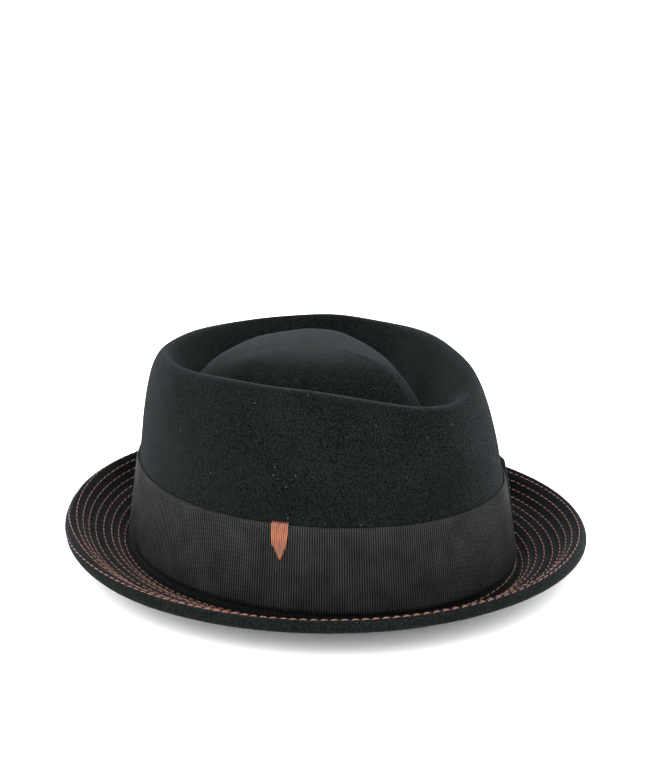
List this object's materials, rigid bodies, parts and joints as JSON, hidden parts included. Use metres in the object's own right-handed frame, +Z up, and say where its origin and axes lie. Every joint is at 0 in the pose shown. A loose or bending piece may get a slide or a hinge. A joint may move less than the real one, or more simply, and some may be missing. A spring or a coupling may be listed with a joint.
{
  "type": "porkpie hat",
  "caption": "Soft felt porkpie hat with a grooved crown and central dome, a narrow turned-up brim, a wide ribbed ribbon with a flat side bow, and a small thread tack.",
  "frame": {"origin": "on the table, below the centre of the hat's outline seen from above", "axes": "+Z up out of the crown, -Y towards the front of the hat, +X towards the wearer's left"},
  "size_m": [0.2428, 0.271, 0.1105],
  "materials": {
    "felt": "black wool felt, very matt, with a fine short nap",
    "ribbon": "charcoal black grosgrain ribbon with fine upright ribs and a soft sheen",
    "thread": "copper tan sewing thread with a light satin shine"
  },
  "bodies": {
    "root": {"felt_body": "felt", "hat_band": "ribbon", "bow_ribbon": "ribbon", "bow_knot": "ribbon", "thread_tack": "thread"}
  },
  "joints": []
}
